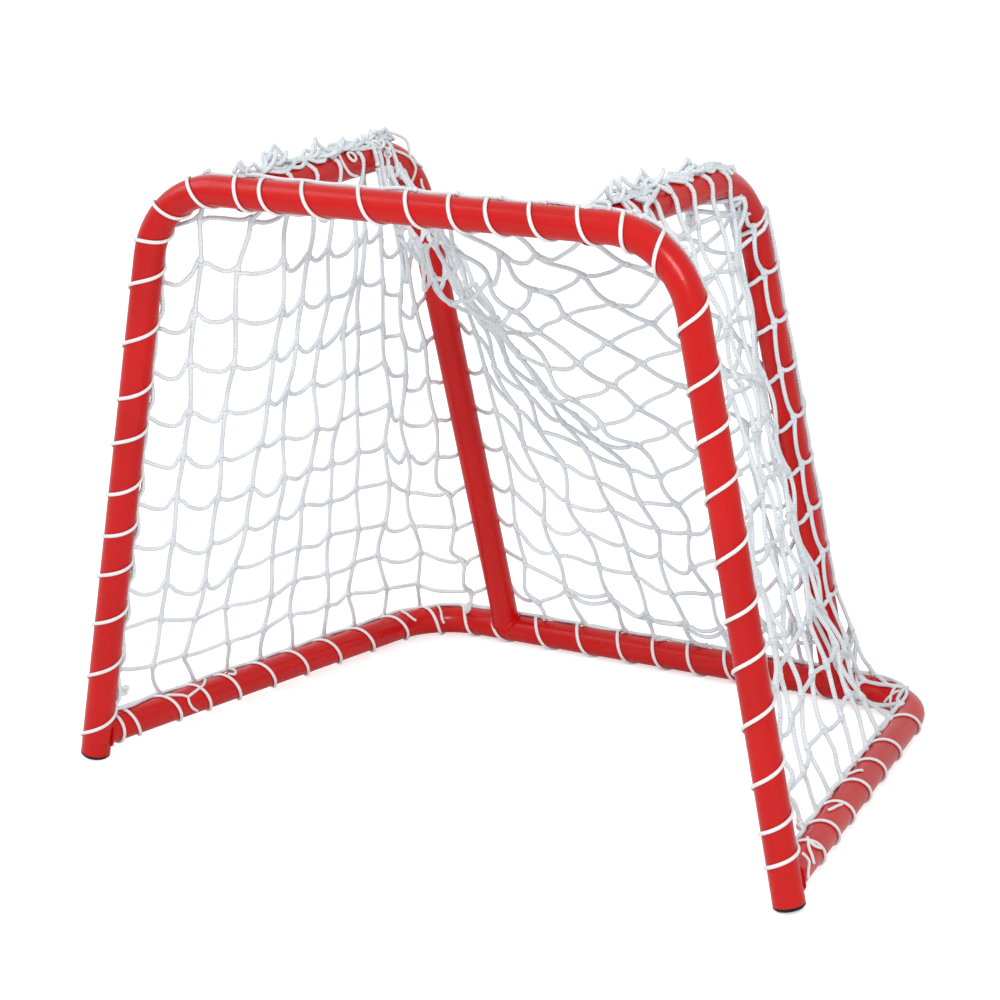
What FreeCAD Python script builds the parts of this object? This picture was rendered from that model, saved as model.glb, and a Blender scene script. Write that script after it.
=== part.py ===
import FreeCAD, Part
import math
import os

os.makedirs("parts", exist_ok=True)

Vector = FreeCAD.Vector

# Driving dimensions of the goal, in millimetres.
# The origin is on the floor under the middle of the goal, +Z is up and the mouth looks along -Y.
tube_diameter = 32.0
tube_wall = 1.8
half_depth = 276.5
foot_half_width = 416.5
foot_end_height = 6.5
top_half_width = 297.0
crossbar_height = 639.0
front_bend_radius = 90.0
base_front_half_width = 412.5
base_front_height = 28.0
base_rear_half_width = 323.5
base_rear_height = 19.4
base_bend_radius = 80.0
arm_front_half_width = 197.0
arm_front_height = 634.0
arm_length = 325.0
arm_rear_half_width = 202.0
arm_rear_height = 641.0
post_foot_half_width = 219.0
hoop_bend_radius = 105.0
weld_bead = 3.0
cope_start = 8.0

# End caps of the legs.
cap_bevel = 2.0
cap_plug_length = 16.0
cap_plug_clearance = 0.1

# The net and its lacing.
cord_diameter = 4.0
net_mesh = 75.0
net_rim = 5.0
smallest_gap_area = 120.0
valley_y = -95.0
valley_height = 295.0
bend_cut = 60.0
foot_cut_back = 95.0
foot_cut_up = 110.0
fold_margin = 2.5
lace_diameter = 3.5
lace_clearance = 0.25
lace_sides = 4
lace_end_lift = 4.5
lace_sample = 3.0
front_lace_pitch = 98.5
front_lace_turns = 17
base_lace_pitch = 109.5
base_lace_turns = 15
gather_diameter = 6.0
gather_sides = 4
gather_start = 40.0
gather_wave = 68.0
gather_rise = 6.0
gather_humps = 3
knot_radius = 5.0
knot_length = 9.0
knot_bevel = 1.5
knot_sides = 8
knot_tail = 14.0

# Values that follow from them.
tube_radius = tube_diameter / 2
bore_radius = tube_radius - tube_wall
lace_radius = lace_diameter / 2
front_y = -half_depth
rear_y = half_depth
leg_splay = math.atan2(foot_half_width - top_half_width, crossbar_height - foot_end_height)


class Route:
    """A line of straight runs joined by tangent arcs of one radius."""

    def __init__(self, corners, radius):
        self.pieces = []
        start = corners[0]
        for before, corner, after in zip(corners, corners[1:], corners[2:]):
            back = (before - corner).normalize()
            ahead = (after - corner).normalize()
            turn = math.pi - back.getAngle(ahead)
            cut = radius * math.tan(turn / 2)
            arc_start = corner + back * cut
            centre = corner + (back + ahead).normalize() * (radius / math.cos(turn / 2))
            self.pieces.append(("run", (arc_start - start).Length, start, back * -1))
            outward = (arc_start - centre).normalize()
            self.pieces.append(("arc", radius * turn, centre, outward, back * -1, radius))
            start = corner + ahead * cut
        direction = (corners[-1] - start).normalize()
        self.pieces.append(("run", (corners[-1] - start).Length, start, direction))
        self.length = sum(piece[1] for piece in self.pieces)

    def on_piece(self, piece, distance):
        """The point and the unit tangent at a distance along one piece."""
        if piece[0] == "run":
            return piece[2] + piece[3] * distance, piece[3]
        centre, outward, along, radius = piece[2:]
        angle = distance / radius
        spoke = outward * math.cos(angle) + along * math.sin(angle)
        return centre + spoke * radius, along * math.cos(angle) - outward * math.sin(angle)

    def at(self, distance):
        """The point and the unit tangent at a distance along the whole route."""
        for piece in self.pieces[:-1]:
            if distance <= piece[1]:
                return self.on_piece(piece, distance)
            distance -= piece[1]
        return self.on_piece(self.pieces[-1], distance)

    def wire(self):
        """The route as a wire of lines and arcs."""
        edges = []
        for piece in self.pieces:
            first = self.on_piece(piece, 0)[0]
            middle = self.on_piece(piece, piece[1] / 2)[0]
            last = self.on_piece(piece, piece[1])[0]
            if piece[0] == "run":
                edges.append(Part.LineSegment(first, last).toShape())
            else:
                edges.append(Part.Arc(first, middle, last).toShape())
        return Part.Wire(edges)


def filled_tube(route, radius):
    """A round bar of a radius that follows a route."""
    point, tangent = route.at(0)
    ring = Part.Wire(Part.Circle(point, tangent, radius).toShape())
    return route.wire().makePipe(Part.Face(ring))


def rod(start, end, radius):
    """A straight round bar between two points."""
    return Part.makeCylinder(radius, (end - start).Length, start, end - start)


def hollow_tube(route, collars=()):
    """The bent tube itself, open at both ends, with the weld collars of its ends.

    Its bore is cut along the straight runs. In the bends, where no one sees it, the tube stays filled,
    which keeps the mesh light.
    """
    tube = filled_tube(route, tube_radius)
    for collar in collars:
        tube = tube.fuse(collar)
    for piece in route.pieces:
        if piece[0] == "run":
            tube = tube.cut(rod(piece[2], piece[2] + piece[3] * piece[1], bore_radius))
    return tube


def weld_collar(run_start, run_end, branch_start, branch_end):
    """The weld bead of a coped end: where the branch and the tube it meets, both made fatter, overlap."""
    fat = tube_radius + weld_bead
    along = (branch_end - branch_start).normalize()
    fat_branch = rod(branch_start + along * cope_start, branch_start + along * (2 * fat), fat)
    return fat_branch.common(rod(run_start, run_end, fat))


def toward(start, end, distance):
    """The point at a distance from one point on the way to another."""
    return start + (end - start).normalize() * distance


def mirrored(shape):
    """The same shape on the other side of the goal."""
    return shape.mirror(Vector(0, 0, 0), Vector(1, 0, 0))


# The front hoop: two splayed legs and the crossbar from one tube.
left_foot = Vector(-foot_half_width, front_y, foot_end_height)
right_foot = Vector(foot_half_width, front_y, foot_end_height)
left_top = Vector(-top_half_width, front_y, crossbar_height)
right_top = Vector(top_half_width, front_y, crossbar_height)
front_route = Route([left_foot, left_top, right_top, right_foot], front_bend_radius)
front_hoop = hollow_tube(front_route)
front_filled = filled_tube(front_route, tube_radius)

# The base: a U on the floor whose coped front ends are welded to the legs.
base_front_left = Vector(-base_front_half_width, front_y, base_front_height)
base_rear_left = Vector(-base_rear_half_width, rear_y, base_rear_height)
base_rear_right = Vector(base_rear_half_width, rear_y, base_rear_height)
base_front_right = Vector(base_front_half_width, front_y, base_front_height)
base_route = Route(
    [
        toward(base_front_left, base_rear_left, cope_start),
        base_rear_left,
        base_rear_right,
        toward(base_front_right, base_rear_right, cope_start),
    ],
    base_bend_radius,
)
base_filled = filled_tube(base_route, tube_radius)
leg_direction = (right_top - right_foot).normalize()
weld_foot = weld_collar(
    right_foot, right_foot + leg_direction * (4 * tube_radius), base_front_right, base_rear_right
)
base_frame = hollow_tube(base_route, [weld_foot, mirrored(weld_foot)]).cut(front_filled)

# The right rear hoop: an arm back from the crossbar and a post down to the rear rail, welded at both ends.
arm_front = Vector(arm_front_half_width, front_y, arm_front_height)
hoop_corner = Vector(arm_rear_half_width, front_y + arm_length, arm_rear_height)
post_foot = Vector(post_foot_half_width, rear_y, base_rear_height)
hoop_route = Route(
    [toward(arm_front, hoop_corner, cope_start), hoop_corner, toward(post_foot, hoop_corner, cope_start)],
    hoop_bend_radius,
)
weld_span = Vector(2 * tube_diameter, 0, 0)
crossbar_point = Vector(arm_front_half_width, front_y, crossbar_height)
weld_arm = weld_collar(crossbar_point - weld_span, crossbar_point + weld_span, arm_front, hoop_corner)
weld_rear = weld_collar(post_foot - weld_span, post_foot + weld_span, post_foot, hoop_corner)
rear_hoop_right = hollow_tube(hoop_route, [weld_arm, weld_rear]).cut(front_filled).cut(base_filled)

# The cap in the end of the right leg: a bevelled disc and a plug, turned about the leg's axis.
cap_thickness = (foot_end_height - (tube_radius - cap_bevel) * math.sin(leg_splay)) / math.cos(leg_splay)
plug_radius = bore_radius - cap_plug_clearance
cap_profile = [
    Vector(0, 0, -cap_thickness),
    Vector(tube_radius - cap_bevel, 0, -cap_thickness),
    Vector(tube_radius, 0, cap_bevel - cap_thickness),
    Vector(tube_radius, 0, 0),
    Vector(plug_radius, 0, 0),
    Vector(plug_radius, 0, cap_plug_length),
    Vector(0, 0, cap_plug_length),
    Vector(0, 0, -cap_thickness),
]
foot_cap = Part.Face(Part.makePolygon(cap_profile)).revolve(Vector(0, 0, 0), Vector(0, 0, 1), 360)
foot_cap.rotate(Vector(0, 0, 0), Vector(0, 1, 0), -math.degrees(leg_splay))
foot_cap.translate(right_foot)
foot_cap_right = foot_cap


def inset(outline, margins):
    """A convex outline, counter-clockwise, with each edge moved inwards by its own margin."""
    lines = []
    for start, end, margin in zip(outline, outline[1:] + outline[:1], margins):
        along = (end - start).normalize()
        inwards = Vector(-along.y, along.x, 0)
        lines.append((start + inwards * margin, along))
    result = []
    for (point, along), (next_point, next_along) in zip(lines[-1:] + lines[:-1], lines):
        gap = next_point - point
        share = gap.cross(next_along).z / along.cross(next_along).z
        result.append(point + along * share)
    return result


def clip(polygon, outline):
    """The part of a polygon that lies inside a convex outline."""
    for start, end in zip(outline, outline[1:] + outline[:1]):
        along = end - start
        kept = []
        for here, there in zip(polygon, polygon[1:] + polygon[:1]):
            side_here = along.cross(here - start).z
            side_there = along.cross(there - start).z
            if side_here >= 0:
                kept.append(here)
            if side_here * side_there < 0:
                kept.append(here + (there - here) * (side_here / (side_here - side_there)))
        polygon = kept
    return polygon


def polygon_area(polygon):
    """The area of a flat polygon."""
    total = 0.0
    for here, there in zip(polygon, polygon[1:] + polygon[:1]):
        total += here.cross(there).z / 2
    return total


gap_counts = []


def net_panel(corners, margins):
    """A flat piece of net in the plane of its corners, with a rim and square gaps.

    The first edge sets the direction of the cords. Each edge stands back by its margin.
    """
    along = (corners[1] - corners[0]).normalize()
    normal = along.cross(corners[2] - corners[0]).normalize()
    across = normal.cross(along)

    def to_plane(point):
        return Vector((point - corners[0]).dot(along), (point - corners[0]).dot(across), 0)

    def to_space(point):
        return corners[0] + along * point.x + across * point.y - normal * (cord_diameter / 2)

    def wire(polygon):
        return Part.makePolygon([to_space(point) for point in polygon + polygon[:1]])

    outline = inset([to_plane(corner) for corner in corners], margins)
    inner = inset(outline, [net_rim] * len(outline))
    middle_x = (min(p.x for p in inner) + max(p.x for p in inner)) / 2
    low_y = min(p.y for p in inner)
    columns = int((max(p.x for p in inner) - middle_x) / net_mesh) + 1
    rows = int((max(p.y for p in inner) - low_y) / net_mesh) + 1
    opening = net_mesh - cord_diameter
    gaps = []
    for column in range(-columns, columns):
        for row in range(rows):
            x = middle_x + column * net_mesh + cord_diameter / 2
            y = low_y + row * net_mesh
            square = [
                Vector(x, y, 0),
                Vector(x + opening, y, 0),
                Vector(x + opening, y + opening, 0),
                Vector(x, y + opening, 0),
            ]
            gap = clip(square, inner)
            if len(gap) > 2 and polygon_area(gap) > smallest_gap_area:
                gaps.append(gap)
    gap_counts.append(len(gaps))
    face = Part.Face([wire(outline)] + [wire(gap) for gap in gaps])
    return face.extrude(normal * cord_diameter)


# The net, panel by panel, for the right half. Laced edges stand clear of the tube and of the lacing on it.
laced_margin = tube_radius + lace_diameter + 2 * lace_clearance
bare_margin = tube_radius + 1.0
net_offset = tube_radius + cord_diameter / 2


# The outer side spans the base side rail and the outside of the rear hoop, and its front edge follows the leg.
axis_plane = (base_rear_right - base_front_right).cross(hoop_corner - base_front_right).normalize()
side_top_rear = hoop_corner - axis_plane * math.copysign(net_offset, axis_plane.x) * -1
side_plane = (base_rear_right - base_front_right).cross(side_top_rear - base_front_right)
side_top_drop = (crossbar_height - base_front_height) * side_plane.z / side_plane.x
side_top_front = Vector(base_front_half_width - side_top_drop, front_y, crossbar_height)
net_side_right = net_panel(
    [
        toward(base_front_right, base_rear_right, foot_cut_back),
        base_rear_right,
        side_top_rear,
        toward(side_top_front, side_top_rear, bend_cut),
        toward(side_top_front, base_front_right, bend_cut),
        toward(base_front_right, side_top_front, foot_cut_up),
    ],
    [laced_margin, fold_margin, fold_margin, laced_margin, laced_margin, fold_margin],
)

# The corner piece closes the rear between the base's corner and the post.
net_corner_right = net_panel(
    [base_rear_right, post_foot, hoop_corner],
    [laced_margin + fold_margin, bare_margin, fold_margin],
)

# The cheek hangs inside the rear hoop, from the arm and the post down to the top and back panels.
hoop_plane = (hoop_corner - arm_front).cross(post_foot - arm_front)
cheek_share = (valley_y - front_y) * hoop_plane.y + (valley_height - arm_front_height) * hoop_plane.z
valley_half_width = arm_front_half_width - cheek_share / hoop_plane.x
valley_right = Vector(valley_half_width, valley_y, valley_height)
valley_left = Vector(-valley_half_width, valley_y, valley_height)
bend_start = hoop_route.pieces[0][1]
bend_length = hoop_route.pieces[1][1]
net_cheek_right = net_panel(
    [
        toward(arm_front, hoop_corner, laced_margin + bare_margin),
        hoop_route.at(bend_start)[0],
        hoop_route.at(bend_start + bend_length / 3)[0],
        hoop_route.at(bend_start + bend_length * 2 / 3)[0],
        hoop_route.at(bend_start + bend_length)[0],
        toward(post_foot, hoop_corner, 3 * tube_radius),
        toward(post_foot, valley_right, 4 * tube_radius),
        valley_right,
        toward(arm_front, valley_right, 2 * tube_radius),
    ],
    [bare_margin] * 5 + [fold_margin] * 4,
)

# The steep top hangs from the crossbar between the arms, and the back rises from the rear rail to meet it.
top_half_span = arm_front_half_width - tube_radius
rail_half_span = post_foot_half_width - tube_radius
net_top = net_panel(
    [
        valley_left,
        valley_right,
        Vector(top_half_span, front_y, crossbar_height),
        Vector(-top_half_span, front_y, crossbar_height),
    ],
    [fold_margin, fold_margin, laced_margin, fold_margin],
)
net_back = net_panel(
    [
        Vector(-rail_half_span, rear_y, base_rear_height),
        Vector(rail_half_span, rear_y, base_rear_height),
        valley_right,
        valley_left,
    ],
    [laced_margin, fold_margin, fold_margin, fold_margin],
)
print("gaps in the net panels", gap_counts)


def biarc(start, start_along, end, end_along):
    """Two tangent arcs from one point and direction to another."""
    reach = end - start
    both = start_along + end_along
    spread = 2 * (1 - start_along.dot(end_along))
    if spread < 1e-6:
        arm = reach.dot(reach) / (2 * reach.dot(both))
    else:
        root = math.sqrt(reach.dot(both) ** 2 + spread * reach.dot(reach))
        arm = (root - reach.dot(both)) / spread
    first_tip = start + start_along * arm
    last_tip = end - end_along * arm
    joint = (first_tip + last_tip) * 0.5
    return [arc_through(start, first_tip, joint), arc_through(joint, last_tip, end)]


def arc_through(start, tip, end):
    """The arc from start to end whose end tangents meet at the tip."""
    chord_middle = (start + end) * 0.5
    half_turn = (tip - start).getAngle(end - tip) / 2
    bulge = math.cos(half_turn) / (1 + math.cos(half_turn))
    middle = chord_middle + (tip - chord_middle) * bulge
    return Part.Arc(start, middle, end).toShape()


def faceted_ring(point, along, radius, sides):
    """A closed polygon round a point, square to a direction."""
    across = along.cross(Vector(0.3, 0.5, 0.8)).normalize()
    up = along.cross(across)
    corners = []
    for side in range(sides + 1):
        angle = 2 * math.pi * side / sides
        corners.append(point + across * (radius * math.cos(angle)) + up * (radius * math.sin(angle)))
    return Part.makePolygon(corners)


def least_gap(points, spacing):
    """The least clear space between turns of one cord, from points along it."""
    apart = int(3 * lace_diameter / spacing) + 1
    nearest = min(
        (points[i] - points[j]).Length
        for i in range(len(points))
        for j in range(i + apart, min(len(points), i + 12 * apart))
    )
    return nearest - lace_diameter


def lacing(name, route, side, pitch, turns):
    """A cord wound right-handed round a bent tube, the same number of turns each way from its middle.

    side is the direction that the cord's middle faces from the tube. Returns the cord, and its ends
    as points with the direction in which the cord runs out of them.
    """
    middle = route.length / 2
    reach = turns * pitch / 2
    hug = tube_radius + lace_radius + lace_clearance

    def at(offset):
        point, along = route.at(middle + offset)
        angle = 2 * math.pi * offset / pitch
        near_end = max(0.0, 1 - (reach - abs(offset)) / (pitch / 4))
        radius = hug + lace_end_lift * near_end ** 2
        return point + side * (radius * math.cos(angle)) + along.cross(side) * (radius * math.sin(angle))

    def direction(offset):
        return (at(offset + 0.01) - at(offset - 0.01)).normalize()

    steps = 4 * turns
    offsets = [-reach + 2 * reach * step / steps for step in range(steps + 1)]
    first = at(offsets[0])
    first_along = direction(offsets[0] + 0.02)
    last = at(offsets[-1])
    last_along = direction(offsets[-1] - 0.02)
    points = [first] + [at(offset) for offset in offsets[1:-1]] + [last]
    ways = [first_along] + [direction(offset) for offset in offsets[1:-1]] + [last_along]
    start = first - first_along * lace_diameter
    edges = [Part.LineSegment(start, first).toShape()]
    for k in range(steps):
        edges += biarc(points[k], ways[k], points[k + 1], ways[k + 1])
    end = last + last_along * lace_diameter
    edges.append(Part.LineSegment(last, end).toShape())
    cord = Part.Wire(edges).makePipeShell([faceted_ring(start, first_along, lace_radius, lace_sides)], True, False)
    samples = [at(-reach + lace_sample * k) for k in range(int(2 * reach / lace_sample))]
    print(name, "turns", turns, "least gap to itself", round(least_gap(samples, lace_sample), 2))
    return cord, (start, first_along * -1), (end, last_along)


# The lacing of the front hoop and of the base. The rear rail stands on its cord, which lies flat there.
lacing_front, front_cord_start, front_cord_end = lacing(
    "lacing_front", front_route, Vector(0, -1, 0), front_lace_pitch, front_lace_turns
)
base_plane = (base_rear_right - base_rear_left).cross(base_front_left - base_rear_left).normalize()
base_down = base_plane * math.copysign(1, -base_plane.z)
lacing_base, base_cord_start, base_cord_end = lacing(
    "lacing_base", base_route, base_down, base_lace_pitch, base_lace_turns
)
floor_block = Part.makeBox(1200, 1200, 20, Vector(-600, -600, -20))
print("lacing below the floor before it is flattened", round(lacing_base.BoundBox.ZMin, 3))
lacing_base = lacing_base.cut(floor_block)


def knot(cord_end):
    """A pulled-tight stopper knot on a cord's end, with its tail."""
    point, along = cord_end
    ring = faceted_ring(point, along, knot_radius, knot_sides)
    body = Part.Face(ring).extrude(along * knot_length)
    ends = [edge for edge in body.Edges if abs(edge.tangentAt(edge.FirstParameter).dot(along)) < 0.5]
    body = body.makeChamfer(knot_bevel, ends)
    tail_ring = faceted_ring(point + along * knot_length, along, lace_radius, knot_sides)
    return body.fuse(Part.Face(tail_ring).extrude(along * knot_tail))


def gather():
    """The bunched edge of the net, which lies in waves along the top of the right arm."""
    along = (hoop_corner - arm_front).normalize()
    up = Vector(0, 0, 1)
    up = (up - along * up.dot(along)).normalize()
    edges = []
    low = tube_radius + gather_diameter / 2 + lace_clearance
    start = arm_front + along * gather_start
    for hump in range(2 * gather_humps):
        rise = gather_rise if hump % 2 else 0.0
        next_rise = 0.0 if hump % 2 else gather_rise
        here = start + along * (hump * gather_wave / 2) + up * (low + rise)
        there = start + along * ((hump + 1) * gather_wave / 2) + up * (low + next_rise)
        edges += biarc(here, along, there, along)
    ring = faceted_ring(start + up * low, along, gather_diameter / 2, gather_sides)
    return Part.Wire(edges).makePipeShell([ring], True, False)


net_gather_right = gather()

# Every node of the part. The left half mirrors the right.
nodes = {
    "front_hoop": front_hoop,
    "base_frame": base_frame,
    "rear_hoop_right": rear_hoop_right,
    "rear_hoop_left": mirrored(rear_hoop_right),
    "foot_cap_right": foot_cap_right,
    "foot_cap_left": mirrored(foot_cap_right),
    "net_side_right": net_side_right,
    "net_side_left": mirrored(net_side_right),
    "net_corner_right": net_corner_right,
    "net_corner_left": mirrored(net_corner_right),
    "net_cheek_right": net_cheek_right,
    "net_cheek_left": mirrored(net_cheek_right),
    "net_top": net_top,
    "net_back": net_back,
    "net_gather_right": net_gather_right,
    "net_gather_left": mirrored(net_gather_right),
    "lacing_front": lacing_front,
    "lacing_base": lacing_base,
    "knot_leg_left": knot(front_cord_start),
    "knot_leg_right": knot(front_cord_end),
    "knot_base_left": knot(base_cord_start),
    "knot_base_right": knot(base_cord_end),
}
for name, shape in nodes.items():
    shape.exportStep("parts/" + name + ".step")
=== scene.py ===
import math
import bpy
import numpy as np
from mathutils import Matrix, Vector


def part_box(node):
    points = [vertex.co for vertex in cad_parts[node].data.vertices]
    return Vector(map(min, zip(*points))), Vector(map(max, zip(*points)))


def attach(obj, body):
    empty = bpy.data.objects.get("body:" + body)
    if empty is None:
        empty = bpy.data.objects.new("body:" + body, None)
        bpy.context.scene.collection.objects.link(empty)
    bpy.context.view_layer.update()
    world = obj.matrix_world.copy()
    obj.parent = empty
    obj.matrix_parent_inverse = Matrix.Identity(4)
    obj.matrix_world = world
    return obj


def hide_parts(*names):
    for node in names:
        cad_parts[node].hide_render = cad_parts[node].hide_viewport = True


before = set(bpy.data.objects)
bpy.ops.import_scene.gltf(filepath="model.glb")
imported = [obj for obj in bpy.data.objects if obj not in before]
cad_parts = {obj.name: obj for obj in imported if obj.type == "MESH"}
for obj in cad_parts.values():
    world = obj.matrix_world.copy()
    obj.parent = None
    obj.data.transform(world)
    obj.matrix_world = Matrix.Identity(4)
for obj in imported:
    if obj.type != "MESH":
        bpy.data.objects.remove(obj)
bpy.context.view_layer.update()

# The tubes
# Four bent steel tubes, 32 mm across, welded into one frame and painted in a thick glossy red.
# Each tube is one straight-and-bent line: the front hoop, the base and the two rear hoops.
TUBE_RADIUS = 0.016
FRONT_Y = -0.2765
REAR_Y = 0.2765
LINE_STEP = 0.002
RED_PAINT = (0.560, 0.0060, 0.0050)
RED_DEEP = (0.490, 0.0040, 0.0040)
RED_SCUFFED = (0.330, 0.0200, 0.0180)
SCUFF_HEIGHT = 0.040


def bent_line(corners, bend_radius):
    """Points every LINE_STEP or less along straight runs joined by tangent arcs of one radius."""
    corners = np.array(corners, float)
    runs = []
    start = corners[0]
    for before, corner, after in zip(corners, corners[1:], corners[2:]):
        back = (before - corner) / np.linalg.norm(before - corner)
        ahead = (after - corner) / np.linalg.norm(after - corner)
        turn = math.pi - math.acos(back @ ahead)
        cut = bend_radius * math.tan(turn / 2)
        arc_start = corner + back * cut
        middle = (back + ahead) / np.linalg.norm(back + ahead)
        centre = corner + middle * bend_radius / math.cos(turn / 2)
        count = math.ceil(np.linalg.norm(arc_start - start) / LINE_STEP)
        runs.append(start + (arc_start - start) * np.linspace(0, 1, count, endpoint=False)[:, None])
        count = math.ceil(bend_radius * turn / LINE_STEP)
        angle = np.linspace(0, turn, count, endpoint=False)[:, None]
        runs.append(centre + (arc_start - centre) * np.cos(angle) - back * bend_radius * np.sin(angle))
        start = corner + ahead * cut
    count = math.ceil(np.linalg.norm(corners[-1] - start) / LINE_STEP)
    runs.append(start + (corners[-1] - start) * np.linspace(0, 1, count + 1)[:, None])
    return np.vstack(runs)


def distances(line):
    """The distance of each point of a line from its start."""
    return np.concatenate([[0], np.cumsum(np.linalg.norm(np.diff(line, axis=0), axis=1))])


def at(line, where):
    """The points of a line at some distances from its start."""
    marks = distances(line)
    return np.stack([np.interp(where, marks, line[:, axis]) for axis in range(3)], axis=-1)


def unit(vectors):
    """The same vectors with length one."""
    return vectors / np.maximum(np.linalg.norm(vectors, axis=-1, keepdims=True), 1e-9)


def direction(line, where):
    """The unit tangents of a line at some distances from its start."""
    length = distances(line)[-1]
    where = np.clip(where, LINE_STEP, length - LINE_STEP)
    return unit(at(line, where + LINE_STEP) - at(line, where - LINE_STEP))


front_line = bent_line(
    [
        (-0.4165, FRONT_Y, 0.0065),
        (-0.297, FRONT_Y, 0.639),
        (0.297, FRONT_Y, 0.639),
        (0.4165, FRONT_Y, 0.0065),
    ],
    bend_radius=0.090,
)
base_line = bent_line(
    [
        (-0.4125, FRONT_Y, 0.028),
        (-0.3235, REAR_Y, 0.0194),
        (0.3235, REAR_Y, 0.0194),
        (0.4125, FRONT_Y, 0.028),
    ],
    bend_radius=0.080,
)
rear_line_right = bent_line(
    [(0.197, FRONT_Y, 0.634), (0.202, 0.0485, 0.641), (0.219, REAR_Y, 0.0194)],
    bend_radius=0.105,
)
rear_line_left = rear_line_right * np.array([-1, 1, 1])


def new_group(name, inputs, outputs):
    """An empty shader node group with named inputs, each with its kind, and named outputs."""
    group = bpy.data.node_groups.new(name, "ShaderNodeTree")
    for label, kind in inputs:
        group.interface.new_socket(name=label, in_out="INPUT", socket_type="NodeSocket" + kind)
    for label, kind in outputs:
        group.interface.new_socket(name=label, in_out="OUTPUT", socket_type="NodeSocket" + kind)
    return group, group.nodes.new("NodeGroupInput").outputs, group.nodes.new("NodeGroupOutput").inputs


def math_node(tree, operation, *values, clamp=False):
    """The result of a Math node; each value is a number or another node's output."""
    node = tree.nodes.new("ShaderNodeMath")
    node.operation = operation
    node.use_clamp = clamp
    for socket, value in zip(node.inputs, values):
        if isinstance(value, (int, float)):
            socket.default_value = value
        else:
            tree.links.new(value, socket)
    return node.outputs[0]


def stretched_noise():
    """A noise pattern stretched so that it is 0 at one value and 1 at another."""
    inputs = [("Place", "Vector")]
    inputs += [(label, "Float") for label in ("Scale", "Low", "High", "Detail")]
    group, given, wanted = new_group("stretched_noise", inputs, [("Mask", "Float")])
    noise = group.nodes.new("ShaderNodeTexNoise")
    spread = group.nodes.new("ShaderNodeMapRange")
    group.links.new(given["Place"], noise.inputs["Vector"])
    group.links.new(given["Scale"], noise.inputs["Scale"])
    group.links.new(given["Detail"], noise.inputs["Detail"])
    group.links.new(given["Low"], spread.inputs["From Min"])
    group.links.new(given["High"], spread.inputs["From Max"])
    group.links.new(noise.outputs["Fac"], spread.inputs["Value"])
    group.links.new(spread.outputs["Result"], wanted["Mask"])
    return group


noise_group = stretched_noise()


def noise_mask(tree, place, scale, low, high, detail=3.0):
    """The stretched noise in a material: each number goes on a socket of the group."""
    node = tree.nodes.new("ShaderNodeGroup")
    node.node_tree = noise_group
    tree.links.new(place, node.inputs["Place"])
    node.inputs["Scale"].default_value = scale
    node.inputs["Low"].default_value = low
    node.inputs["High"].default_value = high
    node.inputs["Detail"].default_value = detail
    return node.outputs["Mask"]


def mix_colour(tree, mask, low, high):
    """A Mix node from one colour to another by a mask; a colour is three numbers or an output."""
    mix = tree.nodes.new("ShaderNodeMix")
    mix.data_type = "RGBA"
    for label, colour in (("A", low), ("B", high)):
        if isinstance(colour, tuple):
            mix.inputs[label].default_value = (*colour, 1)
        else:
            tree.links.new(colour, mix.inputs[label])
    tree.links.new(mask, mix.inputs["Factor"])
    return mix.outputs["Result"]


def new_material(name):
    """A material with its Principled shader and the object's own coordinates."""
    material = bpy.data.materials.new(name)
    material.use_nodes = True
    tree = material.node_tree
    shader = tree.nodes["Principled BSDF"]
    place = tree.nodes.new("ShaderNodeTexCoord")
    return material, tree, shader, place.outputs["Object"]


def add_bump(tree, height, depth, strength=1.0):
    """The bumped normal for a height that runs from 0 to 1 over a depth in metres."""
    bump = tree.nodes.new("ShaderNodeBump")
    bump.inputs["Strength"].default_value = strength
    bump.inputs["Distance"].default_value = depth
    tree.links.new(height, bump.inputs["Height"])
    return bump.outputs["Normal"]


def red_paint():
    """Gloss paint: a faint mottle, fine orange peel, duller rubbed patches, scuffs near the floor."""
    material, tree, shader, here = new_material("red_gloss_paint")
    mottle = noise_mask(tree, here, 9.0, 0.35, 0.70)
    split = tree.nodes.new("ShaderNodeSeparateXYZ")
    tree.links.new(here, split.inputs["Vector"])
    height = math_node(tree, "MULTIPLY", split.outputs["Z"], 1 / SCUFF_HEIGHT)
    low_down = math_node(tree, "SUBTRACT", 1.0, height, clamp=True)
    scuffed = math_node(tree, "MULTIPLY", low_down, noise_mask(tree, here, 140.0, 0.60, 0.72))
    clean = mix_colour(tree, mottle, RED_PAINT, RED_DEEP)
    tree.links.new(mix_colour(tree, scuffed, clean, RED_SCUFFED), shader.inputs["Base Color"])
    rough = tree.nodes.new("ShaderNodeMapRange")
    rough.inputs["To Min"].default_value = 0.18
    rough.inputs["To Max"].default_value = 0.32
    tree.links.new(noise_mask(tree, here, 34.0, 0.35, 0.70), rough.inputs["Value"])
    roughness = math_node(tree, "MULTIPLY_ADD", scuffed, 0.3, rough.outputs["Result"])
    tree.links.new(roughness, shader.inputs["Roughness"])
    peel = noise_mask(tree, here, 420.0, 0.2, 0.8, detail=1.0)
    tree.links.new(add_bump(tree, peel, 0.00012, strength=0.5), shader.inputs["Normal"])
    shader.inputs["Specular IOR Level"].default_value = 0.26
    return material


paint = red_paint()
for name in ("front_hoop", "base_frame", "rear_hoop_left", "rear_hoop_right"):
    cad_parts[name].data.materials.clear()
    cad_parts[name].data.materials.append(paint)

# The foot caps
# A moulded black plastic cap closes each leg. Its plug is pushed into the open tube, and the goal
# stands on both caps in front.
CAP_BLACK = (0.006, 0.007, 0.008)
CAP_RUBBED = (0.020, 0.022, 0.024)


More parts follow.
